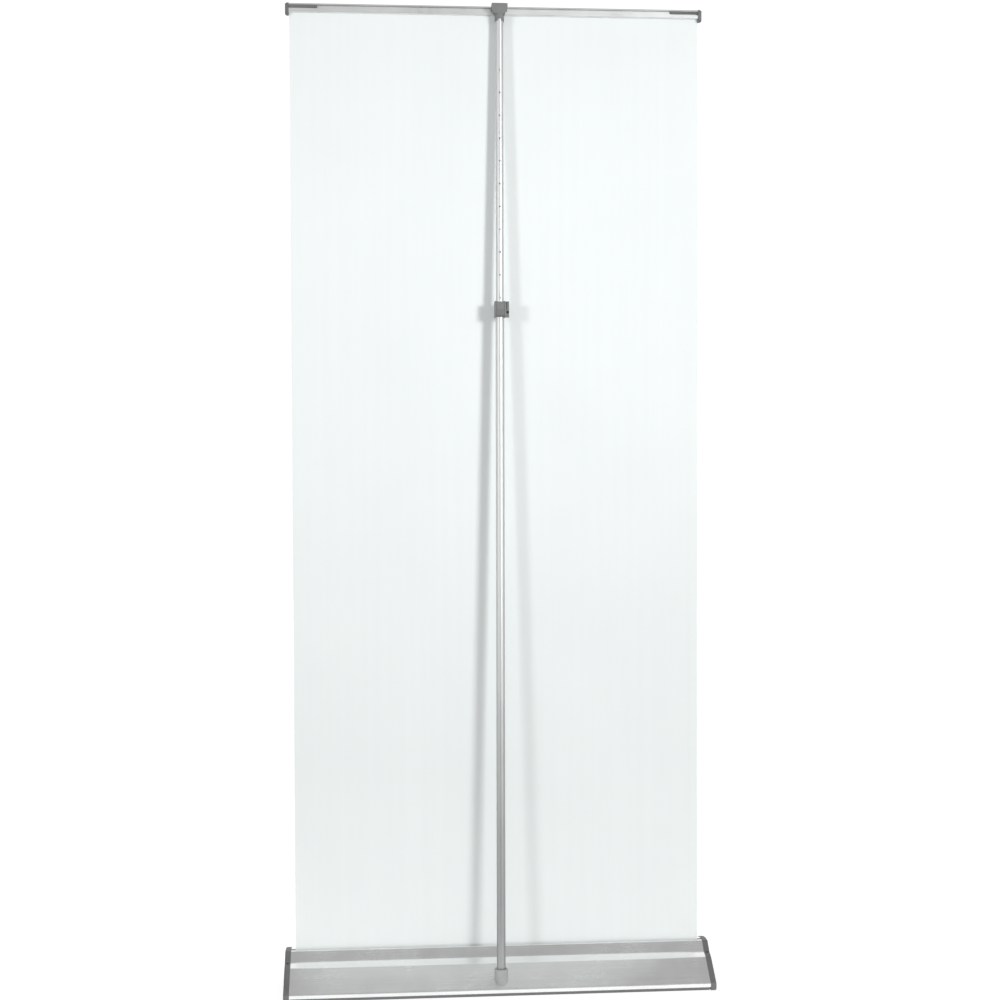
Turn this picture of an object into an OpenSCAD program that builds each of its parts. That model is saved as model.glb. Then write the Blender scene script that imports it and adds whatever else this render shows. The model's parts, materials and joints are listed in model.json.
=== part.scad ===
// Roll-up banner stand, seen from behind: +Z up, X across the banner, +Y towards the pole.
// The origin is on the floor, at the middle of the base's footprint.

/* [Banner] */
// Width of the printed film
banner_w = 850; // [600:10:1000]
// Thickness of the film, with its liner
film_t = 0.4; // [0.3:0.05:0.6]
// Height of the top rail's underside above the floor
rail_z = 2022; // [1600:1:2200]

/* [Base] */
// Overall width, over both end caps
base_w = 892; // [840:1:1060]
// Overall depth, front lip to rear lip
base_d = 204; // [190:1:240]
// Height of the extrusion's crest above the floor
crest_z = 77; // [77:1:86]
// Thickness of each end cap
cap_t = 12; // [8:1:20]
// Gap between the floor and the extrusion's underside
floor_gap = 6; // [4:0.5:8]
// Width of the slot that the film leaves through
slot_w = 7; // [5:0.5:9]
// Wall of the extrusion
wall = 1.6; // [1.4:0.1:2]

/* [Roller] */
// Outer diameter of the roller tube
roller_d = 32; // [28:1:34]
// Wall of the roller tube
roller_wall = 1.2; // [1:0.1:1.6]
// Height of the roller's axis above the floor
roller_z = 38; // [37:0.5:40]
// Turns of the motor spring that are drawn
spring_turns = 20; // [12:1:24]

/* [Top rail] */
// Height of the rail's section
rail_h = 18; // [17:0.5:22]
// Depth of the rail's section
rail_d = 14; // [13:0.5:18]
// Thickness of each rail end cap
rail_cap_t = 7.5; // [5:0.5:12]

/* [Pole] */
// Distance of the pole's foot behind the film
foot_y = 80; // [76:1:84]
// Height of the pole's foot above the floor
foot_z = 24; // [23:1:26]
// How far the pole leans forward, in degrees
lean = 1.812; // [1.7:0.001:1.9]
// How far the pole leans sideways, in degrees
side_lean = 0.214; // [0:0.001:0.4]
// Outer diameter of the two lower sections
lower_d = 18; // [17:0.5:19]
// Outer diameter of the upper section
upper_d = 16; // [15:0.5:16]
// Length of the bottom section
bottom_len = 680; // [600:1:700]
// Length of the middle section
middle_len = 710; // [650:1:720]
// Length of the upper section
upper_len = 700; // [650:1:720]
// Height of the pole's tip, measured along the pole from its foot
pole_top = 2018.5; // [1900:0.5:2050]
// Spacing of the height marks punched in the upper section
mark_pitch = 47; // [40:1:60]

/* [Hidden] */
$fn = 48;

aluminium = "#b9bcbc";
dark_plastic = "#6a6c6c";
steel = "#9a9c9e";
black = "#232323";

play = 0.3;                                  // clearance between bodies that move apart
snug = 0.05;                                 // clearance between pieces fitted together
cap_grow = 0.8;                              // how far the end caps stand proud of the extrusion
housing_len = base_w - 2 * cap_t;
lip_y = base_d / 2 - cap_grow;
lip_z = 14.5;                                // height of the rear lip's upper corner

// Roller and the film that leaves it
wrap_t = 0.6;                                // turns left on the tube when the film is out
wrap_r = roller_d / 2 + wrap_t;
roller_y = wrap_r + film_t / 2 + snug;
tube_bore_r = roller_d / 2 - roller_wall;
chamber_r = 22.3;
roller_len = banner_w + 6;
flange_t = 2;
spindle_r = 4;
boss_r = 8.5;                                // bosses that the motor spring's ends grip
arbor_x = roller_len / 2 - 28;
drive_x = 110;
coil_r = 10.2;
wire_r = 0.9;

// Screws in the end caps, as [y, z]
ports = [[60, 11], [-74, 11], [-8.2, 69.5]];
port_r = 1.9;
screw_r = 1.85;
screw_head_r = 3.6;
screw_head_h = 2.2;

plug_y = 32;                                 // plugs in the end caps' ledges

// Foot strips
strip_w = 14;
strip_y = lip_y - 9;

// Top rail, in its own section coordinates with z = 0 at the underside
rail_len = banner_w + 1;
groove_w = 1.2;
grip_room_y = 5.2;                           // how far the grip strip's room reaches forward
channel_y = [2.2, 5.5];                      // inside of the rear channel, front to back
channel_z = [5, 16];                         // inside of the rear channel, bottom to top
mouth_z = [6.5, 14.5];                       // mouth of the rear channel
tongue_len = 60;

// Pole, in its own coordinates with z along the pole from the foot
socket_r = 14;
socket_rim = 27.5;
socket_floor = -8.4;
ball_r = 8;
tilt_max = 3;
tube_wall = 0.9;
lower_r = lower_d / 2;
upper_r = upper_d / 2;
tube_start = 2;
seam = tube_start + bottom_len;
middle_end = seam + middle_len;
upper_end = pole_top - 3.5;
upper_start = upper_end - upper_len;
ferrule_r = lower_r - tube_wall - snug;
collar_bottom = 1371;
collar_top = 1403;
collar_half = 11.5;
collar_rear = 12;
lever_z = 1388.5;
lever_y = 12.9;
lever_half = 8;
first_mark = 1411;
mark_r = 1.6;
mark_count = 11;
head_w = 33;
head_front = -8.7;
head_rear = 9.5;
head_bottom = 1997;
skirt_bottom = 1983;

// ---- helpers ----

function unit(v) = v / norm(v);

// The arc that rounds corner b, between neighbours a and c, as a list of points
function corner(a, b, c, r, steps) =
    let (u = unit(a - b), w = unit(c - b), half = acos(u * w) / 2,
         centre = b + unit(u + w) * r / sin(half),
         from = b + u * r / tan(half) - centre,
         to = b + w * r / tan(half) - centre,
         a0 = atan2(from.y, from.x),
         turn = atan2(from.x * to.y - from.y * to.x, from * to))
    [for (i = [0 : steps]) centre + r * [cos(a0 + turn * i / steps), sin(a0 + turn * i / steps)]];

// A closed outline from corners [x, y, radius]
function rounded(p, steps = 6) = [
    for (i = [0 : len(p) - 1])
        let (n = len(p), a = p[(i + n - 1) % n], b = p[i], c = p[(i + 1) % n])
        each b[2] == 0 ? [[b.x, b.y]]
            : corner([a.x, a.y], [b.x, b.y], [c.x, c.y], b[2], steps)];

// Points along a quadratic curve, each with no rounding
function bend(a, b, c, steps) = [
    for (i = [0 : steps])
        let (t = i / steps, p = a * (1 - t) * (1 - t) + b * 2 * t * (1 - t) + c * t * t)
        [p.x, p.y, 0]];

// The same curve moved by d to its left, as plain points
function inset_bend(a, b, c, steps, d) = [
    for (i = [0 : steps])
        let (t = i / steps, p = a * (1 - t) * (1 - t) + b * 2 * t * (1 - t) + c * t * t,
             along = unit((b - a) * (1 - t) + (c - b) * t))
        p + d * [-along.y, along.x]];

// Extrudes a section drawn in (y, z) along X, centred
module along_x(length) {
    rotate([90, 0, 90])
        linear_extrude(length, center = true)
            children();
}

// A cylinder along X, from x0 to x1
module rod_x(x0, x1, r) {
    translate([x0, 0, 0])
        rotate([0, 90, 0])
            cylinder(h = x1 - x0, r = r);
}

// A cylinder along Y, from y0 to y1
module rod_y(y0, y1, r) {
    translate([0, y0, 0])
        rotate([-90, 0, 0])
            cylinder(h = y1 - y0, r = r);
}

// A box from its lowest to its highest corner
module block(low, high) {
    translate(low)
        cube(high - low);
}

module at_roller() {
    translate([0, roller_y, roller_z])
        children();
}

module in_pole_frame() {
    translate([0, foot_y, foot_z])
        rotate([lean, -side_lean, 0])
            children();
}

module tube(z0, z1, r_out, r_in) {
    translate([0, 0, z0])
        difference() {
            cylinder(h = z1 - z0, r = r_out);
            translate([0, 0, -1])
                cylinder(h = z1 - z0 + 2, r = r_in);
        }
}

// ---- base ----

// Rear face: crest, steep band, shallow ledge, long slope and rounded lip.
// Front face: one smooth curve. g moves the outline outwards.
function base_outline(g, low) = concat(
    [[lip_y + g, low, 2], [lip_y + g, lip_z + 1.3 * g, 3 + g], [47 + 0.6 * g, 53 + 0.9 * g, 14],
     [30.5 + 0.6 * g, 58.6 + g, 16], [9.2 + 0.6 * g, crest_z + g, 4 + g]],
    bend([-9, crest_z + g], [-64 - g, 74 + g], [-lip_y + 1 - g, 13 + g], 12),
    [[-lip_y - g, 10, 2], [-lip_y - g, low, 2]]);

// Rooms inside the extrusion, which leave its walls, a web and the screw ports
module housing_rooms() {
    low = floor_gap + wall;
    lip = lip_y - wall - 0.5;
    difference() {
        union() {
            // Behind the roller
            polygon(rounded([[19, low, 0.5], [lip, low, 1], [lip, slope_z(lip) - 1.26 * wall, 2],
                             [47 - 0.5 * wall, 53 - 0.9 * wall, 12],
                             [31.5, 58.2 - 1.06 * wall, 0], [19, 40, 0]]));
            // Behind the slot
            polygon([[slot_w / 2 + wall, 50], [slot_w / 2 + wall, crest_z - wall],
                     [10.2 - 1.33 * wall, crest_z - wall], [27 - 1.33 * wall, 60.6], [24, 57]]);
            // In front of the slot and the roller
            polygon(concat([[-lip_y + wall + 0.5, low], [17, low], [17, 30], [-slot_w / 2 - wall, 38],
                            [-slot_w / 2 - wall, crest_z - wall]],
                           inset_bend([-9, crest_z], [-64, 74], [-lip_y + 1, 13], 12, wall)));
        }
        circle_at([roller_y, roller_z], chamber_r + wall);
        for (p = ports)
            circle_at(p, port_r + wall);
        translate([-52, 0])
            square([wall, crest_z]);
    }
}

// Height of the long rear slope at a distance y behind the film
function slope_z(y) = 53 - (y - 47) * (53 - lip_z) / (lip_y - 47);

module circle_at(p, r) {
    translate(p)
        circle(r);
}

module base_housing() {
    color(aluminium)
        difference() {
            along_x(housing_len)
                difference() {
                    polygon(rounded(base_outline(0, floor_gap)));
                    circle_at([roller_y, roller_z], chamber_r);
                    translate([-slot_w / 2, roller_z])
                        square([slot_w, crest_z]);
                    housing_rooms();
                    for (p = ports)
                        circle_at(p, port_r);
                }
            // Milled hole for the pole's socket, and the hole for its screw
            in_pole_frame()
                translate([0, 0, socket_floor - 7.2])
                    cylinder(h = 60, r = 12);
            translate([0, foot_y + 0.4, 0])
                cylinder(h = 20, r = 2.3);
        }
}

// An end cap for the +X end; side = -1 mirrors it
module end_cap(side) {
    inner = housing_len / 2;
    face = 1.6;
    color(dark_plastic)
        mirror([side < 0 ? 1 : 0, 0, 0])
            difference() {
                union() {
                    translate([inner + (cap_t - face) / 2, 0, 0])
                        along_x(cap_t - face)
                            polygon(rounded(base_outline(cap_grow, 0)));
                    translate([inner + cap_t - face / 2, 0, 0])
                        along_x(face)
                            polygon(rounded(base_outline(cap_grow - 1.4, 1.4)));
                    // Boss that locates the cap in the roller's chamber
                    at_roller()
                        rod_x(inner - 2.5, inner + 1, chamber_r - 0.2);
                }
                // Pocket for the spindle or the axle
                at_roller()
                    rod_x(inner - 4, inner + 8, spindle_r + snug);
                for (p = ports)
                    translate([0, p.x, p.y]) {
                        rod_x(inner - 1, inner + cap_t + 1, screw_r + 0.2);
                        rod_x(inner + cap_t - screw_head_h - 0.4, inner + cap_t + 1, screw_head_r + 0.3);
                    }
                // Recess for the plug in the ledge
                translate([inner + cap_t / 2, plug_y, 46])
                    cylinder(h = 30, r = 2.5);
            }
}

module end_cap_left() {
    end_cap(-1);
}

module end_cap_right() {
    end_cap(1);
}

module end_cap_screws() {
    inner = housing_len / 2;
    color(black)
        for (side = [0, 1])
            mirror([side, 0, 0])
                for (p = ports)
                    translate([0, p.x, p.y])
                        difference() {
                            union() {
                                rod_x(inner - 14, inner + cap_t - screw_head_h, screw_r);
                                rod_x(inner + cap_t - screw_head_h - 0.4, inner + cap_t - 0.4, screw_head_r);
                            }
                            translate([inner + cap_t - 1.6, 0, 0])
                                rotate([0, 90, 0])
                                    cylinder(h = 4, r = 1.7, $fn = 6);
                        }
}

// Small black plug in each cap's ledge
module end_cap_plugs() {
    color(black)
        for (side = [-1, 1])
            translate([side * (base_w - cap_t) / 2, plug_y, 46])
                cylinder(h = 13, r = 2.45);
}

module foot_strip(y) {
    color(black)
        translate([0, y, 0])
            along_x(housing_len - 4)
                polygon(rounded([[-strip_w / 2, 0, 1.2], [strip_w / 2, 0, 1.2],
                                 [strip_w / 2, floor_gap, 0], [-strip_w / 2, floor_gap, 0]], 3));
}

module front_foot_strip() {
    foot_strip(-strip_y);
}

module rear_foot_strip() {
    foot_strip(strip_y);
}

// ---- spring motor, fixed side ----

module spring_spindle() {
    color(steel)
        at_roller()
            rod_x(drive_x, housing_len / 2 + 8, spindle_r);
}

module spring_arbor() {
    color(dark_plastic)
        at_roller()
            difference() {
                union() {
                    rod_x(arbor_x, arbor_x + 14, boss_r);
                    rod_x(arbor_x + 14, arbor_x + 18, boss_r + 2);
                }
                rod_x(arbor_x - 1, arbor_x + 20, spindle_r + snug);
            }
}

// A coil spring along X from x0 to x1, swept as a six-sided wire with sixteen rings to a turn
module coil_spring(x0, x1, turns, r, wire) {
    sides = 6;
    rings = turns * 16;
    function ring_point(i, k) =
        let (a = i * 22.5, b = k * 360 / sides, reach = r + wire * cos(b))
        [x0 + (x1 - x0) * i / rings + wire * sin(b), reach * cos(a), reach * sin(a)];
    points = [for (i = [0 : rings], k = [0 : sides - 1]) ring_point(i, k)];
    skin = [for (i = [0 : rings - 1], k = [0 : sides - 1])
        let (n = (k + 1) % sides)
        [i * sides + k, (i + 1) * sides + k, (i + 1) * sides + n, i * sides + n]];
    ends = [[for (k = [0 : sides - 1]) k],
            [for (k = [sides - 1 : -1 : 0]) rings * sides + k]];
    polyhedron(points, concat(skin, ends));
}

module motor_spring() {
    color(steel)
        at_roller()
            coil_spring(drive_x + 12, arbor_x + 12, spring_turns, coil_r, wire_r);
}

module idler_axle() {
    color(steel)
        at_roller()
            rod_x(-housing_len / 2 - 8, -roller_len / 2 + 22, spindle_r);
}

// ---- pole socket ----

module pole_socket() {
    color(aluminium)
        difference() {
            union() {
                // Cup, cut off along the slope that it stands on
                difference() {
                    in_pole_frame() {
                        translate([0, 0, -12])
                            cylinder(h = socket_rim + 12 - 1.5, r = socket_r);
                        translate([0, 0, socket_rim - 1.5])
                            cylinder(h = 1.5, r1 = socket_r, r2 = socket_r - 1.2);
                    }
                    along_x(60)
                        polygon([[foot_y - 30, 0], [foot_y + 30, 0],
                                 [foot_y + 30, slope_z(foot_y + 30)], [foot_y - 30, slope_z(foot_y - 30)]]);
                }
                // Spigot through the slope, down to the floor of the extrusion
                in_pole_frame()
                    translate([0, 0, socket_floor - 7])
                        cylinder(h = 20, r = socket_r - 2.3);
            }
            in_pole_frame() {
                // Seat of the foot's ball, and the bore with room to lean back
                sphere(r = ball_r + play);
                cylinder(h = socket_rim + 1, r = lower_r + play);
                translate([0, (socket_rim + 2) * tan(tilt_max), 0])
                    cylinder(h = socket_rim + 1, r = lower_r + play);
            }
            // Pilot for the screw from below
            translate([0, foot_y + 0.4, 0])
                cylinder(h = foot_z + socket_floor - 1.5, r = 1.75);
        }
}

module socket_screw() {
    color(steel)
        translate([0, foot_y + 0.4, 0]) {
            translate([0, 0, 3.2])
                cylinder(h = floor_gap - 3.2, r = 4);
            translate([0, 0, 4])
                cylinder(h = 9, r = 1.7);
        }
}

// ---- film ----

module banner_sheet() {
    color("white")
        block([-banner_w / 2, -film_t / 2, roller_z],
              [banner_w / 2, film_t / 2, rail_z + 13.5]);
}

module banner_wraps() {
    color("white")
        at_roller()
            difference() {
                rod_x(-banner_w / 2, banner_w / 2, wrap_r);
                rod_x(-banner_w / 2 - 1, banner_w / 2 + 1, roller_d / 2);
            }
}

// ---- roller ----

module roller_tube() {
    color(aluminium)
        at_roller()
            difference() {
                rod_x(-roller_len / 2, roller_len / 2, roller_d / 2);
                rod_x(-roller_len / 2 - 1, roller_len / 2 + 1, tube_bore_r);
            }
}

// A plug in the roller's +X end, with a flange and a running bore; side = -1 mirrors it
module roller_plug(side) {
    end = roller_len / 2;
    mirror([side < 0 ? 1 : 0, 0, 0])
        at_roller()
            difference() {
                union() {
                    rod_x(end - 8, end, tube_bore_r - snug);
                    rod_x(end, end + flange_t, roller_d / 2);
                }
                rod_x(end - 9, end + flange_t + 1, spindle_r + snug);
            }
}

module spring_end_bush() {
    color(dark_plastic)
        roller_plug(1);
}

module idler_plug() {
    color(dark_plastic)
        roller_plug(-1);
}

module spring_drive_plug() {
    color(dark_plastic)
        at_roller()
            difference() {
                union() {
                    rod_x(drive_x - 12, drive_x + 8, tube_bore_r - snug);
                    rod_x(drive_x + 8, drive_x + 24, boss_r);
                }
                rod_x(drive_x - 1, drive_x + 25, spindle_r + snug);
            }
}

// ---- top rail ----

module rail_profile() {
    y = rail_d / 2;
    color(aluminium)
        translate([0, 0, rail_z])
            along_x(rail_len)
                difference() {
                    polygon(rounded([[y, 0, 1.5], [y, rail_h, 3], [-y, rail_h, 4], [-y, 0, 2.5]]));
                    // Slot and room for the film's top edge
                    polygon([[-groove_w / 2, -1], [groove_w / 2, -1], [groove_w / 2, 2], [-groove_w / 2, 2]]);
                    polygon(rounded([[-grip_room_y, 1.6, 0.5], [groove_w / 2, 1.6, 0.5],
                                     [groove_w / 2, 15.5, 0.5], [-grip_room_y, 15.5, 1.5]], 3));
                    // Rear channel and its mouth
                    polygon([[channel_y[0], channel_z[0]], [channel_y[1], channel_z[0]],
                             [channel_y[1], channel_z[1]], [channel_y[0], channel_z[1]]]);
                    polygon([[channel_y[1] - 1, mouth_z[0]], [y + 1, mouth_z[0]],
                             [y + 1, mouth_z[1]], [channel_y[1] - 1, mouth_z[1]]]);
                }
}

module rail_grip_strip() {
    color(black)
        block([-banner_w / 2 + 5, -film_t / 2 - 1.6, rail_z + 2],
              [banner_w / 2 - 5, -film_t / 2 - snug, rail_z + 14]);
}

// A rail end cap for the +X end, with a tongue in the rear channel
module rail_end_cap(side) {
    inner = rail_len / 2;
    color(dark_plastic)
        translate([0, 0, rail_z])
            mirror([side < 0 ? 1 : 0, 0, 0]) {
                translate([inner + 2.5, 0, 0])
                    along_x(5)
                        polygon(rounded([[8, -7, 6], [8, 18.8, 5], [-8, 18.8, 6], [-8, -7, 7]]));
                translate([inner + (rail_cap_t + 5) / 2, 0, 0])
                    along_x(rail_cap_t - 5)
                        polygon(rounded([[6.6, -5.6, 5], [6.6, 17.4, 4], [-6.6, 17.4, 5], [-6.6, -5.6, 6]]));
                // Tongue, rounded at its inner end
                block([inner - tongue_len + 4, channel_y[0] + 0.1, 9.5],
                      [inner, channel_y[1] - 0.1, 15.8]);
                translate([inner - tongue_len + 4, 0, 12.65])
                    rod_y(channel_y[0] + 0.1, channel_y[1] - 0.1, 3.15);
            }
}

module rail_end_cap_left() {
    rail_end_cap(-1);
}

module rail_end_cap_right() {
    rail_end_cap(1);
}

// ---- lower pole ----

module foot_plug() {
    color(dark_plastic)
        in_pole_frame()
            difference() {
                union() {
                    sphere(r = ball_r);
                    cylinder(h = 22, r = ferrule_r);
                }
                // Way through for the elastic cord
                translate([0, 0, 6])
                    cylinder(h = 20, r = 2.2);
            }
}

module bottom_tube() {
    color(aluminium)
        in_pole_frame()
            difference() {
                tube(tube_start, seam, lower_r, lower_r - tube_wall);
                // The ball's shoulder seats the tube's end
                sphere(r = ball_r);
            }
}

module section_ferrule() {
    color(steel)
        in_pole_frame()
            tube(seam - 60, seam + 60, ferrule_r, ferrule_r - 1);
}

module middle_tube() {
    color(aluminium)
        in_pole_frame()
            tube(seam, middle_end, lower_r, lower_r - tube_wall);
}

// Elastic cord that keeps the two lower sections together
module bungee_cord() {
    color(black)
        in_pole_frame()
            translate([0, 0, 12])
                cylinder(h = seam + 42 - 12, r = 1.5);
}

module cord_anchors() {
    color(black)
        in_pole_frame() {
            tube(22, 28, 4.5, 1.5 + snug);
            tube(seam + 34, seam + 42, ferrule_r - 1 - snug, 1.5 + snug);
        }
}

module lock_collar() {
    color(dark_plastic)
        in_pole_frame()
            difference() {
                union() {
                    translate([0, 0, collar_bottom])
                        linear_extrude(collar_top - collar_bottom)
                            polygon(rounded([[-collar_half, -11.5, 6], [collar_half, -11.5, 6],
                                             [collar_half, collar_rear + 3, 1.5],
                                             [-collar_half, collar_rear + 3, 1.5]]));
                    // Clamp ear on the -X side
                    translate([0, 0, collar_bottom])
                        linear_extrude(collar_top - collar_bottom)
                            polygon(rounded([[-18.5, -3, 2.5], [-10, -3, 0],
                                             [-10, 9, 0], [-18.5, 9, 2.5]]));
                }
                // Lower tube from below, upper tube above it
                translate([0, 0, collar_bottom - 1])
                    cylinder(h = middle_end - collar_bottom + 1, r = lower_r + snug);
                translate([0, 0, collar_bottom])
                    cylinder(h = 60, r = upper_r + play);
                // Slit of the clamp ear and its screw
                block([-13.3, -12, 1386], [-12.3, 20, collar_top + 1]);
                translate([-15.5, 0, 1381])
                    rod_y(-4, 10, 1.6);
                translate([-15.5, 0, 1381])
                    rod_y(7.2, 12, 2.9);
                // Well for the lever, deeper behind the thumb pad
                block([-lever_half - play, 11.7, collar_bottom - 1],
                      [lever_half + play, 20, collar_top + 1]);
                block([-lever_half - play, 10.2, collar_bottom - 1],
                      [lever_half + play, 12, lever_z + 2.7]);
                // Window for the brake shoe
                block([-4.3, 5, 1393], [4.3, 12, collar_top + 1]);
                // Seat of the lever's spring
                translate([0, 0, 1377])
                    rod_y(9.6, 12, 2.6);
                // Hole for the lever's pin
                translate([0, lever_y, lever_z])
                    rod_x(-12, 12, 1.25);
            }
}

module collar_screw() {
    color(black)
        in_pole_frame()
            translate([-15.5, 0, 1381])
                difference() {
                    union() {
                        rod_y(-2, 7.5, 1.5);
                        rod_y(7.2, 8.8, 2.7);
                    }
                    translate([0, 7.8, 0])
                        rotate([-90, 0, 0])
                            cylinder(h = 3, r = 1.3, $fn = 6);
                }
}

module lever_pin() {
    color(steel)
        in_pole_frame()
            translate([0, lever_y, lever_z])
                rod_x(-11.3, 11.3, 1.2);
}

// Short compression spring behind the thumb pad
module lever_spring() {
    color(steel)
        in_pole_frame()
            translate([0, 0, 1377])
                rotate([0, 0, 90])
                    coil_spring(10.1, 12.6, 3, 1.8, 0.3);
}

// ---- lock lever ----

module lock_lever() {
    color(dark_plastic)
        in_pole_frame()
            difference() {
                union() {
                    translate([0, 0, 1373.2])
                        linear_extrude(28.6)
                            polygon(rounded([[-lever_half, 13.1, 0], [lever_half, 13.1, 0],
                                             [lever_half, 15.6, 1.2], [-lever_half, 15.6, 1.2]]));
                    // Knuckle round the pin
                    translate([0, lever_y, lever_z])
                        rod_x(-lever_half + 0.6, lever_half - 0.6, 2.1);
                    // Ribs of the thumb pad
                    for (i = [-2 : 2])
                        translate([i * 3, 0, 0])
                            block([-0.6, 15, 1374.4], [0.6, 16.3, 1385]);
                    // Ridge above the pad
                    block([-6.6, 15, 1386.5], [6.6, 16.4, 1389]);
                    // Arm that carries the brake shoe
                    block([-3.6, 10.6, 1394.5], [3.6, 13.5, 1400.5]);
                }
                translate([0, lever_y, lever_z])
                    rod_x(-12, 12, 1.3);
            }
}

module brake_shoe() {
    color(black)
        in_pole_frame()
            difference() {
                block([-3.6, upper_r - 1, 1394.5], [3.6, 10.6, 1400.5]);
                translate([0, 0, 1390])
                    cylinder(h = 20, r = upper_r + 0.35);
            }
}

// ---- upper pole ----

module upper_tube() {
    color(aluminium)
        in_pole_frame()
            difference() {
                tube(upper_start, upper_end, upper_r, upper_r - tube_wall);
                for (i = [0 : mark_count - 1])
                    translate([0, 0, first_mark + i * mark_pitch])
                        rod_y(0, upper_r + 1, mark_r);
                translate([0, 0, skirt_bottom + 9])
                    rod_x(-12, 12, 1.5 + snug);
            }
}

// Plastic bush on the upper section's foot, which slides in the middle section
module guide_bush() {
    color(dark_plastic)
        in_pole_frame()
            difference() {
                union() {
                    translate([0, 0, upper_start - 4])
                        cylinder(h = 4, r = lower_r - tube_wall - 0.08);
                    translate([0, 0, upper_start])
                        cylinder(h = 14, r = upper_r - tube_wall - snug);
                }
                translate([0, 0, upper_start - 5])
                    cylinder(h = 30, r = 4);
            }
}

module head_clip() {
    color(dark_plastic)
        in_pole_frame()
            difference() {
                union() {
                    // Wide head, its lower corners cut back to the skirt
                    translate([0, head_rear, 0])
                        rotate([90, 0, 0])
                            linear_extrude(head_rear - head_front)
                                polygon(rounded([[-head_w / 2, pole_top, 1.2], [-head_w / 2, 2008.5, 1],
                                                 [-10.5, head_bottom, 1], [10.5, head_bottom, 1],
                                                 [head_w / 2, 2008.5, 1], [head_w / 2, pole_top, 1.2]], 3));
                    // Skirt round the tube
                    translate([0, 0, skirt_bottom])
                        cylinder(h = head_bottom - skirt_bottom + 2, r = 9.5);
                    // Tongue that stands in the rail's rear channel
                    block([-head_w / 2, head_front - 4.9, 2006.6],
                          [head_w / 2, head_front + 1, 2013.4]);
                }
                // Blind bore for the tube
                translate([0, 0, skirt_bottom - 1])
                    cylinder(h = upper_end - skirt_bottom + 1, r = upper_r + snug);
                // Arch in the back of the skirt
                translate([0, 0, skirt_bottom])
                    rod_y(2, 12, 4.6);
                // Hole for the pin
                translate([0, 0, skirt_bottom + 9])
                    rod_x(-12, 12, 1.5 + snug);
            }
}

module head_pin() {
    color(steel)
        in_pole_frame()
            translate([0, 0, skirt_bottom + 9])
                rod_x(-9.3, 9.3, 1.5);
}

base_housing();
end_cap_left();
end_cap_right();
end_cap_screws();
end_cap_plugs();
front_foot_strip();
rear_foot_strip();
spring_spindle();
spring_arbor();
motor_spring();
idler_axle();
pole_socket();
socket_screw();
banner_sheet();
roller_tube();
spring_end_bush();
spring_drive_plug();
idler_plug();
banner_wraps();
rail_profile();
rail_grip_strip();
rail_end_cap_left();
rail_end_cap_right();
foot_plug();
bottom_tube();
section_ferrule();
middle_tube();
bungee_cord();
cord_anchors();
lock_collar();
collar_screw();
lever_pin();
lever_spring();
lock_lever();
brake_shoe();
upper_tube();
guide_bush();
head_clip();
head_pin();
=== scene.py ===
"""Looks for the roll-up banner stand, seen from behind: camera, studio, materials and the detailed pieces."""

import json
import math

import bmesh
import bpy
from mathutils import Matrix, Vector, noise


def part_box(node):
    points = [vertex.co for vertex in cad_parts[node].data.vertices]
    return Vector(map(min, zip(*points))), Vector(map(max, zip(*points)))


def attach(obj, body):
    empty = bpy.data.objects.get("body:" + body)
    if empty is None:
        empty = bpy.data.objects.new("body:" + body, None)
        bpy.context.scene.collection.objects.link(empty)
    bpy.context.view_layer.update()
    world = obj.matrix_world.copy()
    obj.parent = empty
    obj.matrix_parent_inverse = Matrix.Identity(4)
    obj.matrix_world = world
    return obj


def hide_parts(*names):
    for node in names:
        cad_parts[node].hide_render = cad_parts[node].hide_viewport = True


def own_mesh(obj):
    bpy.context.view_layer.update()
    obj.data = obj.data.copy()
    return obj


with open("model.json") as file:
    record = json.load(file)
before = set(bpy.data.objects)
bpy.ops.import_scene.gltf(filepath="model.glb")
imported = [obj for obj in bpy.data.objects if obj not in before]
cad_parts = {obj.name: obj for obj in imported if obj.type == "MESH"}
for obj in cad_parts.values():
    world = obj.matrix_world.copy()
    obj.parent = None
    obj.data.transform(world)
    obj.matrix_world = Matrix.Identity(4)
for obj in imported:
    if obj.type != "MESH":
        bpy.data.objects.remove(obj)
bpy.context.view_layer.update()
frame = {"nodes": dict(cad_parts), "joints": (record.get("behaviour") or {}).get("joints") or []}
joints = {j["name"]: j for j in frame["joints"]}

MM = 0.001


# ---- Named values ----

RUBBER_TONE = (0.14, 0.14, 0.142)
RUBBER_DUST = (0.21, 0.208, 0.203)
BRAID_DARK = (0.012, 0.012, 0.012)
BRAID_LIGHT = (0.07, 0.07, 0.072)
BRAID_BANDS = 260.0                 # strands' bands a metre
FILM_DARK = (0.795, 0.820, 0.816)
FILM_LIGHT = (0.830, 0.855, 0.850)
FILM_DUST = (0.55, 0.55, 0.54)

FILM_COLUMNS, FILM_ROWS = 64, 160
FILM_FLAT = 0.60                    # m of film at each end that hang without curl
EDGE_CURL_MM = 1.6
RIPPLE_MM = 0.35

FLOOR_RADIUS = 9.0                  # m
FLOOR_SIDES = 96
FLOOR_RINGS = (1.5, 3.5, 6.0, FLOOR_RADIUS)
FLOOR_TONE = 0.42
FLOOR_GLOW = 0.74                   # added on the backdrop's side
GLOW_FULL = 0.14                    # m behind the stand
GLOW_ENDS = 0.9                     # m behind the stand
RIM_GLOW = 0.22
SKY_BACKDROP = 1.05
SKY_FRONT = 0.54
SKY_CEILING = 0.43
SKY_DIM = 0.70                      # factor on the -X side
CEILING_FROM = (0.5, 0.95)
COOL = (0.965, 1.0, 0.995)
# name, place, aim, size (m), power (W), spread (degrees)
LAMPS = (
    ("key_light", (-3.3, 5.2, 2.1), (0.1, 0, 1.5), 1.30, 20.5, 55),
    ("fill_light", (5.2, 5.2, 2.1), (0.0, 0, 1.5), 1.20, 14.1, 60),
)


# ---- Camera ----

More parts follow.
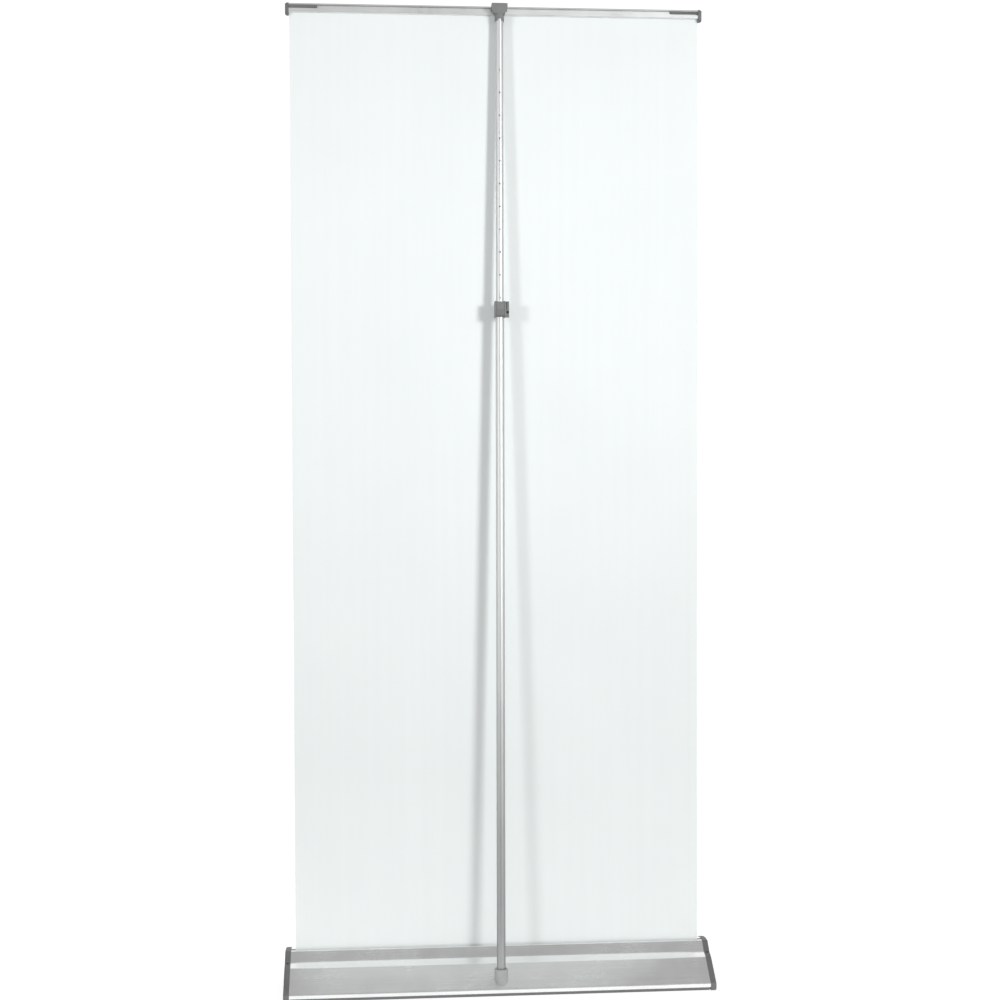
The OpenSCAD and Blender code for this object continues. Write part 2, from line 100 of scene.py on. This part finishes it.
LENS_MM = 57.6
SENSOR_MM = 36.0
CLIP_END = 60         # m
CAMERA_AT = Vector((0.2526, 3.3417, 1.1124))
YAW = -0.0775         # radians, from looking along -Y
PITCH = 0.0288        # radians, downwards
ROLL = -0.0033        # radians


def make_camera():
    forward = Vector((math.sin(YAW) * math.cos(PITCH),
                      -math.cos(YAW) * math.cos(PITCH),
                      -math.sin(PITCH)))
    level_right = forward.cross(Vector((0, 0, 1))).normalized()
    level_up = level_right.cross(forward)
    right = math.cos(ROLL) * level_right + math.sin(ROLL) * level_up
    up = math.cos(ROLL) * level_up - math.sin(ROLL) * level_right
    data = bpy.data.cameras.new("camera")
    data.lens, data.sensor_width, data.clip_end = LENS_MM, SENSOR_MM, CLIP_END
    camera = bpy.data.objects.new("camera", data)
    bpy.context.scene.collection.objects.link(camera)
    axes = Matrix((right, up, -forward)).transposed().to_4x4()
    camera.matrix_world = Matrix.Translation(CAMERA_AT) @ axes
    bpy.context.scene.camera = camera


# ---- Node helpers ----

class Surface:
    """One procedural material on a Principled shader, built node by node."""

    def __init__(self, name, roughness, metallic=0.0, **sockets):
        self.mat = bpy.data.materials.new(name)
        self.mat.use_nodes = True
        self.tree = self.mat.node_tree
        self.shader = self.tree.nodes["Principled BSDF"]
        self.shader.inputs["Metallic"].default_value = metallic
        if roughness is not None:
            self.shader.inputs["Roughness"].default_value = roughness
        for socket, value in sockets.items():
            self.shader.inputs[socket.replace("_", " ")].default_value = value

    def node(self, kind, inputs=(), **settings):
        made = self.tree.nodes.new("ShaderNode" + kind)
        for key, value in settings.items():
            setattr(made, key, value)
        for key, value in dict(inputs).items():
            if isinstance(value, bpy.types.NodeSocket):
                self.tree.links.new(value, made.inputs[key])
            else:
                made.inputs[key].default_value = value
        return made

    def link(self, output, socket):
        self.tree.links.new(output, self.shader.inputs[socket])

    def place(self, scale, turn=(0, 0, 0)):
        """Object coordinates, turned and then scaled by axis."""
        here = self.node("TexCoord").outputs["Object"]
        turned = self.node("Mapping", {"Vector": here, "Rotation": turn}).outputs[0]
        return self.node("Mapping", {"Vector": turned, "Scale": scale}).outputs[0]

    def grain(self, scale, detail=3.0, rough=0.55, turn=(0, 0, 0), distort=0.0):
        """Noise with that many cells a metre along each axis."""
        if not isinstance(scale, tuple):
            scale = (scale,) * 3
        made = self.node("TexNoise", {"Vector": self.place(scale, turn), "Scale": 1.0, "Detail": detail,
                                      "Roughness": rough, "Distortion": distort})
        return made.outputs["Fac"]

    def span(self, value, low, high, from_low=0.3, from_high=0.7):
        """Stretches a value from one range to another, clamped."""
        made = self.node("MapRange", {"Value": value, "From Min": from_low, "From Max": from_high,
                                      "To Min": low, "To Max": high})
        return made.outputs["Result"]

    def ease(self, value, low, high, from_low, from_high):
        """As span, with a smooth start and end."""
        made = self.node("MapRange", {"Value": value, "From Min": from_low, "From Max": from_high,
                                      "To Min": low, "To Max": high}, interpolation_type="SMOOTHSTEP")
        return made.outputs["Result"]

    def math(self, how, a, b=0.0):
        return self.node("Math", {0: a, 1: b}, operation=how).outputs[0]

    def ramp(self, value, dark, light):
        made = self.node("ValToRGB", {"Fac": value})
        made.color_ramp.elements[0].color = (*dark, 1)
        made.color_ramp.elements[1].color = (*light, 1)
        return made.outputs["Color"]

    def blend(self, fac, a, b, how="MIX"):
        made = self.node("Mix", data_type="RGBA", blend_type=how)
        for key, value in ((0, fac), (6, a), (7, b)):
            if isinstance(value, bpy.types.NodeSocket):
                self.tree.links.new(value, made.inputs[key])
            else:
                made.inputs[key].default_value = value if key == 0 else (*value, 1)
        return made.outputs[2]

    def bump(self, height, depth_mm, strength):
        made = self.node("Bump", {"Height": height, "Distance": depth_mm * MM, "Strength": strength})
        self.link(made.outputs["Normal"], "Normal")

    def edges(self, radius_mm):
        """1 on edges, 0 on flats, from how far a rounded normal leans away from the true one."""
        soft = self.node("Bevel", {"Radius": radius_mm * MM}, samples=4).outputs["Normal"]
        true = self.node("NewGeometry").outputs["Normal"]
        lean = self.node("VectorMath", {0: soft, 1: true}, operation="DOT_PRODUCT")
        return self.span(lean.outputs["Value"], 1.0, 0.0, 0.75, 0.99)


def grey(v, tint=(1, 1, 1)):
    return tuple(v * t for t in tint)


def lined_aluminium(name, dark, light, lines, rough, turn=(0, 0, 0), tint=(1, 1, 1), painted_foot_shade=None):
    """Satin anodised metal with the fine lines that its die leaves along it. The last argument, if
    given, is a range of heights in metres and the tone's factor at its lower end: painted shade, darker
    towards the foot."""
    s = Surface(name, None, 1.0)
    fine = s.grain(lines, 4, 0.6, turn)
    broad = s.grain(tuple(v * 0.12 for v in lines), 2, 0.5, turn)
    cloud = s.grain(9, 3, 0.6)
    tone = s.math("ADD", s.math("MULTIPLY", fine, 0.45), s.math("MULTIPLY", broad, 0.55))
    colour = s.ramp(s.span(tone, 0, 1), grey(dark, tint), grey(light, tint))
    smudge_and_foot_shade = s.span(cloud, 0.94, 1.0, 0.35, 0.65)
    # Painted shade: over the given heights the colour darkens towards the foot of the tube.
    if painted_foot_shade:
        low, high, factor = painted_foot_shade
        here = s.node("TexCoord").outputs["Object"]
        height = s.node("SeparateXYZ", {0: here}).outputs["Z"]
        smudge_and_foot_shade = s.math("MULTIPLY", smudge_and_foot_shade, s.ease(height, factor, 1.0, low, high))
    s.link(s.blend(1.0, colour, s.ramp(smudge_and_foot_shade, (0, 0, 0), (1, 1, 1)), "MULTIPLY"), "Base Color")
    haze = s.math("ADD", s.span(cloud, rough[0], rough[1]), s.span(fine, -0.03, 0.03))
    s.link(haze, "Roughness")
    s.bump(fine, 0.008, 0.35)
    return s.mat


def moulded(name, dark, light, rough=(0.42, 0.58), tint=(1, 1, 1)):
    """Moulded plastic: spark-eroded texture, slight flow marks and edges worn a little paler."""
    texture_mm, wear, depth_mm = 0.35, 1.25, 0.03
    s = Surface(name, None, 0.0)
    speck = s.grain(1000 / texture_mm, 2, 0.5)
    flow = s.grain(28, 4, 0.6, distort=0.6)
    tone = s.span(flow, 0, 1)
    colour = s.ramp(tone, grey(dark, tint), grey(light, tint))
    pale = s.ramp(tone, grey(dark * wear, tint), grey(light * wear, tint))
    scuff = s.math("MULTIPLY", s.edges(0.7), s.span(s.grain(260, 3), 0.15, 1, 0.42, 0.6))
    s.link(s.blend(scuff, colour, pale), "Base Color")
    polish = s.math("MULTIPLY", scuff, 0.08)
    s.link(s.math("SUBTRACT", s.span(speck, rough[0], rough[1]), polish), "Roughness")
    s.bump(speck, depth_mm, 0.5)
    return s.mat


def turned_steel(name, dark, light, rough=(0.28, 0.42), metallic=1.0):
    """Plated or blackened steel with fine machining marks."""
    s = Surface(name, None, metallic)
    fine = s.grain((1800, 700, 700), 3, 0.6)
    spots = s.grain(420, 3, 0.6)
    tone = s.math("ADD", s.math("MULTIPLY", fine, 0.5), s.math("MULTIPLY", spots, 0.5))
    s.link(s.ramp(s.span(tone, 0, 1), grey(dark), grey(light, (1, 1, 1.01))), "Base Color")
    s.link(s.span(spots, rough[0], rough[1]), "Roughness")
    s.bump(fine, 0.01, 0.3)
    return s.mat


def rubber_material():
    s = Surface("rubber", None, 0.0)
    speck = s.grain(1600, 3, 0.6)
    dust = s.grain(60, 4, 0.65)
    s.link(s.blend(s.span(dust, 0, 0.35, 0.5, 0.75), RUBBER_TONE, RUBBER_DUST), "Base Color")
    s.link(s.span(dust, 0.68, 0.88), "Roughness")
    s.bump(speck, 0.05, 0.6)
    return s.mat


def braid_material(axis_turn):
    """Braided cover of the shock cord: two crossed sets of strands."""
    s = Surface("braided_elastic", 0.75, 0.0)
    here = s.place((1, 1, 1), axis_turn)
    strands = []
    for lean in (0.7, -0.7):
        turned = s.node("Mapping", {"Vector": here, "Rotation": (lean, 0.0, 0.5)}).outputs[0]
        bands = s.node("TexWave", {"Vector": turned, "Scale": BRAID_BANDS, "Distortion": 0.4, "Detail": 1.0},
                       wave_type="BANDS", bands_direction="Z")
        strands.append(bands.outputs["Fac"])
    weave = s.math("MAXIMUM", *strands)
    s.link(s.ramp(weave, BRAID_DARK, BRAID_LIGHT), "Base Color")
    s.bump(weave, 0.2, 0.8)
    return s.mat


def film_material():
    """Matt display film, unprinted side: faint streaks along its length, a fine tooth and some dust."""
    s = Surface("display_film", None, 0.0, Specular_IOR_Level=0.35)
    streak = s.grain((70, 70, 1.2), 3, 0.55)
    cloud = s.grain(3.5, 3, 0.5)
    tooth = s.grain(2200, 2, 0.6)
    tone = s.math("ADD", s.math("MULTIPLY", streak, 0.35), s.math("MULTIPLY", cloud, 0.65))
    colour = s.ramp(s.span(tone, 0, 1), FILM_DARK, FILM_LIGHT)
    dust = s.span(s.grain(900, 1, 0.4), 0, 0.25, 0.74, 0.8)
    s.link(s.blend(dust, colour, FILM_DUST), "Base Color")
    s.link(s.span(tooth, 0.52, 0.64), "Roughness")
    s.bump(tooth, 0.02, 0.3)
    return s.mat


# ---- Pieces ----

def add_object(name, mesh):
    made = bpy.data.objects.new(name, mesh)
    bpy.context.scene.collection.objects.link(made)
    return made


def softened(node, width_mm, body, material):
    """The node's own shape with its edges rounded, which stands for the node."""
    source = frame["nodes"][node]
    bm = bmesh.new()
    bm.from_mesh(source.data)
    bmesh.ops.remove_doubles(bm, verts=bm.verts, dist=0.002 * MM)
    bmesh.ops.dissolve_limit(bm, angle_limit=math.radians(0.6), verts=bm.verts, edges=bm.edges)
    mesh = bpy.data.meshes.new(node + "_soft")
    bm.to_mesh(mesh)
    bm.free()
    made = add_object(node + "_soft", mesh)
    bevel = made.modifiers.new("edges", "BEVEL")
    bevel.width = width_mm * MM
    bevel.segments = 2
    bevel.limit_method = "ANGLE"
    bevel.angle_limit = math.radians(32)
    bevel.use_clamp_overlap = True
    bevel.harden_normals = False
    apply_modifiers(made)
    smooth(made, 40)
    made.data.materials.clear()
    made.data.materials.append(material)
    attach(made, body)
    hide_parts(node)


def apply_modifiers(obj):
    bpy.context.view_layer.update()
    depsgraph = bpy.context.evaluated_depsgraph_get()
    baked = bpy.data.meshes.new_from_object(obj.evaluated_get(depsgraph))
    obj.modifiers.clear()
    obj.data = baked


def smooth(obj, angle):
    """Smooth shading with edges sharper than that angle kept."""
    bm = bmesh.new()
    bm.from_mesh(obj.data)
    limit = math.radians(angle)
    for f in bm.faces:
        f.smooth = True
    for e in bm.edges:
        e.smooth = not (len(e.link_faces) == 2 and e.calc_face_angle(0) > limit)
    bm.to_mesh(obj.data)
    bm.free()


def make_lever_spring(material):
    """The spring behind the lever's thumb pad, which the lever presses on; here one fixed copy of the part,
    carried by the lower pole.
    """
    outward = pole_axis.cross(-Vector(joints["lever_press"]["axis"])).normalized()
    mesh = frame["nodes"]["lever_spring"].data.copy()
    mesh.materials.clear()
    mesh.materials.append(material)
    spring = add_object("lever_spring_coil", mesh)
    smooth(spring, 50)
    seat = min((v.co for v in mesh.vertices), key=lambda co: co.dot(outward)).copy()
    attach(spring, "lower_pole")
    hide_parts("lever_spring")
    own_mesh(spring)


def make_film(material):
    """The hanging film: flat at both ends, which lie by the roller and in the rail when it is down,
    and slightly curled between them."""
    low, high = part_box("banner_sheet")
    slot_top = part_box("base_housing")[1].z + FILM_FLAT
    rail_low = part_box("rail_profile")[0].z - FILM_FLAT
    half, length, thick = (high.x - low.x) / 2, high.z - low.z, high.y - low.y
    bm = bmesh.new()
    grid = []
    for i in range(FILM_ROWS + 1):
        z = low.z + length * i / FILM_ROWS
        t = min(max((z - slot_top) / (rail_low - slot_top), 0), 1)
        free = math.sin(math.pi * t) ** 0.6 if 0 < t < 1 else 0.0
        row = []
        for k in range(FILM_COLUMNS + 1):
            u = 2 * k / FILM_COLUMNS - 1
            curl = EDGE_CURL_MM * abs(u) ** 6 + RIPPLE_MM * noise.noise(Vector((u * 1.7, z * 0.9, 3.1)))
            y = (low.y + high.y) / 2 - thick / 2 + curl * free * MM
            row.append(bm.verts.new((low.x + half * (u + 1), y, z)))
        grid.append(row)
    for a, b in zip(grid, grid[1:]):
        for k in range(FILM_COLUMNS):
            bm.faces.new((a[k], a[k + 1], b[k + 1], b[k]))
    mesh = bpy.data.meshes.new("film")
    bm.to_mesh(mesh)
    bm.free()
    film = add_object("film", mesh)
    shell = film.modifiers.new("thickness", "SOLIDIFY")
    shell.thickness = thick
    shell.offset = -1
    apply_modifiers(film)
    smooth(film, 40)
    film.data.materials.append(material)
    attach(film, "cassette")
    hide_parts("banner_sheet")
    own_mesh(film)


# ---- Studio ----

def make_lamp(name, at, target, size, watts, spread):
    data = bpy.data.lights.new(name, "AREA")
    data.shape, data.size, data.energy, data.color = "DISK", size, watts, COOL
    data.spread = math.radians(spread)
    lamp = add_object(name, data)
    facing = (Vector(target) - Vector(at)).to_track_quat("-Z", "Y")
    lamp.matrix_world = Matrix.Translation(at) @ facing.to_matrix().to_4x4()


def make_floor():
    """A pale floor that glows on the side of the bright backdrop and a little towards its rim."""
    s = Surface("studio_floor", None, 0.0)
    tone = s.grain(0.8, 3, 0.5)
    s.link(s.ramp(s.span(tone, 0, 1), grey(FLOOR_TONE), grey(FLOOR_TONE + 0.03)), "Base Color")
    s.link(s.span(s.grain(40, 3), 0.75, 0.85), "Roughness")
    here = s.node("TexCoord").outputs["Object"]
    far = s.node("VectorMath", {0: here}, operation="LENGTH").outputs["Value"]
    side = s.node("SeparateXYZ", {0: here}).outputs["Y"]
    glow = s.ease(side, 0.0, FLOOR_GLOW, GLOW_ENDS, GLOW_FULL)
    rim = s.span(far, 0.0, RIM_GLOW, FLOOR_RINGS[0], FLOOR_RADIUS - 1.0)
    s.shader.inputs["Emission Color"].default_value = (1, 1, 1, 1)
    s.link(s.math("ADD", glow, rim), "Emission Strength")
    bm = bmesh.new()
    turns = [2 * math.pi * i / FLOOR_SIDES for i in range(FLOOR_SIDES)]
    loops = [[bm.verts.new((r * math.cos(t), r * math.sin(t), 0)) for t in turns] for r in FLOOR_RINGS]
    centre = bm.verts.new((0, 0, 0))
    for i in range(FLOOR_SIDES):
        after = (i + 1) % FLOOR_SIDES
        bm.faces.new((centre, loops[0][i], loops[0][after]))
        for a, b in zip(loops, loops[1:]):
            bm.faces.new((a[i], b[i], b[after], a[after]))
    mesh = bpy.data.meshes.new("floor")
    bm.to_mesh(mesh)
    bm.free()
    mesh.materials.append(s.mat)
    floor = add_object("floor", mesh)


def make_sky():
    """A soft studio: a bright backdrop on the -Y side, a softer ceiling and a dimmer wall on the -X side."""
    world = bpy.data.worlds.new("studio")
    world.use_nodes = True
    tree = world.node_tree
    parts = tree.nodes.new("ShaderNodeSeparateXYZ")
    tree.links.new(tree.nodes.new("ShaderNodeTexCoord").outputs["Generated"], parts.inputs[0])

    def ramp(axis, *limits):
        made = tree.nodes.new("ShaderNodeMapRange")
        made.interpolation_type = "SMOOTHSTEP"
        tree.links.new(parts.outputs[axis], made.inputs["Value"])
        for key, limit in zip(("From Min", "From Max", "To Min", "To Max"), limits):
            made.inputs[key].default_value = limit
        return made.outputs["Result"]

    def times(a, b):
        made = tree.nodes.new("ShaderNodeMath")
        made.operation = "MULTIPLY"
        tree.links.new(a, made.inputs[0])
        tree.links.new(b, made.inputs[1])
        return made.outputs[0]

    overhead = times(ramp("Z", *CEILING_FROM, 0.0, 1.0), ramp("Y", -0.55, -0.12, 0.0, 1.0))
    mixed = tree.nodes.new("ShaderNodeMix")
    tree.links.new(overhead, mixed.inputs[0])
    tree.links.new(ramp("Y", -0.6, 0.6, SKY_BACKDROP, SKY_FRONT), mixed.inputs[2])
    mixed.inputs[3].default_value = SKY_CEILING
    background = tree.nodes["Background"]
    background.inputs["Color"].default_value = (1, 1, 1, 1)
    dimmed = times(mixed.outputs[0], ramp("X", -0.9, -0.35, SKY_DIM, 1.0))
    tree.links.new(dimmed, background.inputs["Strength"])
    bpy.context.scene.world = world


def make_studio():
    make_floor()
    make_sky()
    for lamp in LAMPS:
        make_lamp(*lamp)
    bpy.context.scene.view_settings.view_transform = "Standard"


# ---- Scene ----

make_camera()
make_studio()

pole_axis = Vector(joints["pole_extend"]["axis"]).normalized()
pole_turn = tuple(pole_axis.rotation_difference(Vector((0, 0, 1))).to_euler())

housing_metal = lined_aluminium("satin_aluminium", 0.90, 0.96, (5, 1500, 1500), (0.20, 0.28),
                                tint=(0.985, 0.985, 0.985))
rail_metal = lined_aluminium("rail_aluminium", 0.86, 0.94, (6, 1700, 1700), (0.26, 0.34))
# The tubes carry shade painted into their colour, darker towards the foot.
tube_metal = lined_aluminium("tube_aluminium", 0.60, 0.70, (1400, 1400, 4), (0.48, 0.56), pole_turn,
                             painted_foot_shade=(0.15, 0.85, 0.64))
inner_tube_metal = lined_aluminium("roller_aluminium", 0.58, 0.68, (6, 1200, 1200), (0.30, 0.40))
cap_plastic = moulded("grey_plastic", 0.130, 0.155)
clip_plastic = moulded("moulded_plastic", 0.175, 0.210, (0.56, 0.70), tint=(1, 1.01, 1))
socket_plastic = moulded("socket_plastic", 0.31, 0.40, (0.40, 0.55), tint=(1, 1.01, 1))
steel = turned_steel("steel", 0.50, 0.60)
spring_steel = turned_steel("spring_steel", 0.36, 0.46, (0.25, 0.38))
black_steel = turned_steel("black_screws", 0.020, 0.045, (0.38, 0.5), metallic=0.6)
black_plastic = moulded("black_plastic", 0.022, 0.030, (0.42, 0.55))
rubber = rubber_material()
braid = braid_material(pole_turn)
film_stuff = film_material()
strip_plastic = moulded("grip_strip", 0.05, 0.065, (0.45, 0.6))

node_materials = {
    "base_housing": housing_metal,
    "end_cap_screws": black_steel,
    "end_cap_plugs": black_plastic,
    "front_foot_strip": rubber,
    "rear_foot_strip": rubber,
    "spring_spindle": steel,
    "spring_arbor": cap_plastic,
    "motor_spring": spring_steel,
    "idler_axle": steel,
    "socket_screw": black_steel,
    "roller_tube": inner_tube_metal,
    "spring_end_bush": cap_plastic,
    "spring_drive_plug": cap_plastic,
    "idler_plug": cap_plastic,
    "banner_wraps": film_stuff,
    "rail_profile": rail_metal,
    "rail_grip_strip": strip_plastic,
    "foot_plug": cap_plastic,
    "bottom_tube": tube_metal,
    "section_ferrule": tube_metal,
    "middle_tube": tube_metal,
    "bungee_cord": braid,
    "cord_anchors": cap_plastic,
    "collar_screw": black_steel,
    "lever_pin": steel,
    "brake_shoe": rubber,
    "upper_tube": tube_metal,
    "guide_bush": cap_plastic,
    "head_pin": steel,
}
for node, material in node_materials.items():
    mesh = frame["nodes"][node].data
    mesh.materials.clear()
    mesh.materials.append(material)
    smooth(frame["nodes"][node], 35)

for side in ("left", "right"):
    softened("end_cap_" + side, 0.6, "cassette", cap_plastic)
    softened("rail_end_cap_" + side, 0.5, "top_rail", cap_plastic)
softened("pole_socket", 0.5, "cassette", socket_plastic)
softened("lock_collar", 0.5, "lower_pole", clip_plastic)
softened("lock_lever", 0.3, "lock_lever", clip_plastic)
softened("head_clip", 0.5, "upper_pole", clip_plastic)

make_lever_spring(spring_steel)
make_film(film_stuff)
